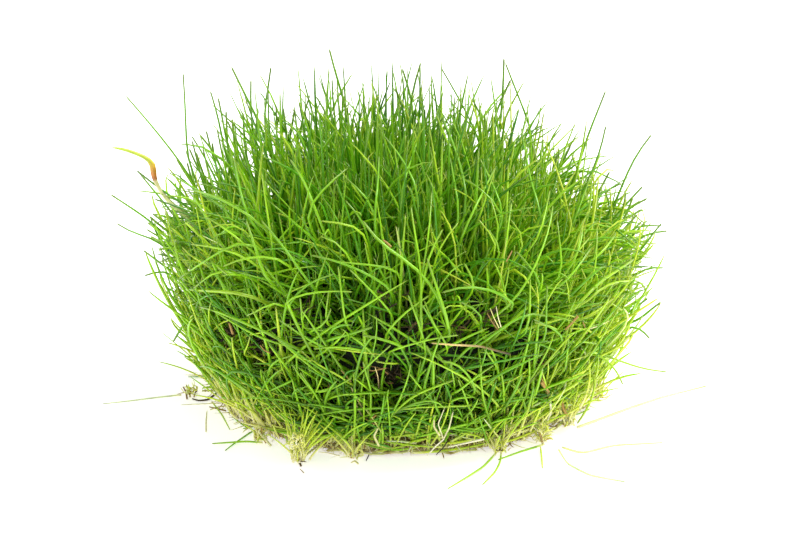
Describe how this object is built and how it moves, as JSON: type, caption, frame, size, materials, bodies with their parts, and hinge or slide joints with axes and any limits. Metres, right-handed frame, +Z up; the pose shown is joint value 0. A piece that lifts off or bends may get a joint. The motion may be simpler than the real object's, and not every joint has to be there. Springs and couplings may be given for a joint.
{
  "type": "dwarf hairgrass",
  "caption": "Round cushion of dwarf hairgrass: dense tufts of thread-thin green leaves growing from a flat mat of roots, with runners and small daughter plantlets round its foot.",
  "frame": {"origin": "centre of the root mat's flat underside, on the surface it rests on", "axes": "+Z up out of the mat along the leaves, -Y to the front as pictured, +X to the right"},
  "size_m": [0.0989, 0.0814, 0.0543],
  "materials": {
    "leaf_green": "wet, glossy leaf green",
    "young_green": "wet, glossy young yellow-green",
    "pale_stem": "wet, waxy cream to pale green stem",
    "root_brown": "matt tangle of fine olive-brown roots"
  },
  "bodies": {
    "root": {"daughter_plantlet_back_left": "young_green", "daughter_plantlet_back_right": "young_green", "daughter_plantlet_corner": "young_green", "daughter_plantlet_front": "young_green", "daughter_plantlet_front_left": "young_green", "daughter_plantlet_front_right": "young_green", "daughter_plantlet_left": "young_green", "daughter_plantlet_right": "young_green", "fallen_leaf_back_left": "young_green", "fallen_leaf_back_right": "young_green", "fallen_leaf_corner": "young_green", "fallen_leaf_front_drop": "young_green", "fallen_leaf_front_long": "young_green", "fallen_leaf_front_short": "young_green", "fallen_leaf_left": "young_green", "fallen_leaf_right_long": "young_green", "fallen_leaf_right_low": "young_green", "fallen_leaf_right_middle": "young_green", "root_mat": "root_brown", "runner_back": "pale_stem", "runner_front": "pale_stem", "runner_front_left": "pale_stem", "runner_left": "pale_stem", "runner_right": "pale_stem", "runner_shoot": "young_green", "tuft_centre": "leaf_green", "tuft_inner_01": "leaf_green", "tuft_inner_02": "leaf_green", "tuft_inner_03": "leaf_green", "tuft_inner_04": "leaf_green", "tuft_inner_05": "leaf_green", "tuft_middle_01": "leaf_green", "tuft_middle_02": "leaf_green", "tuft_middle_03": "leaf_green", "tuft_middle_04": "leaf_green", "tuft_middle_05": "leaf_green", "tuft_middle_06": "leaf_green", "tuft_middle_07": "leaf_green", "tuft_middle_08": "leaf_green", "tuft_middle_09": "leaf_green", "tuft_middle_10": "leaf_green", "tuft_middle_11": "leaf_green", "tuft_outer_01": "leaf_green", "tuft_outer_02": "leaf_green", "tuft_outer_03": "leaf_green", "tuft_outer_04": "leaf_green", "tuft_outer_05": "leaf_green", "tuft_outer_06": "leaf_green", "tuft_outer_07": "leaf_green", "tuft_outer_08": "leaf_green", "tuft_outer_09": "leaf_green", "tuft_outer_10": "leaf_green", "tuft_outer_11": "leaf_green", "tuft_outer_12": "leaf_green", "tuft_outer_13": "leaf_green", "tuft_outer_14": "leaf_green", "tuft_outer_15": "leaf_green"}
  },
  "joints": []
}
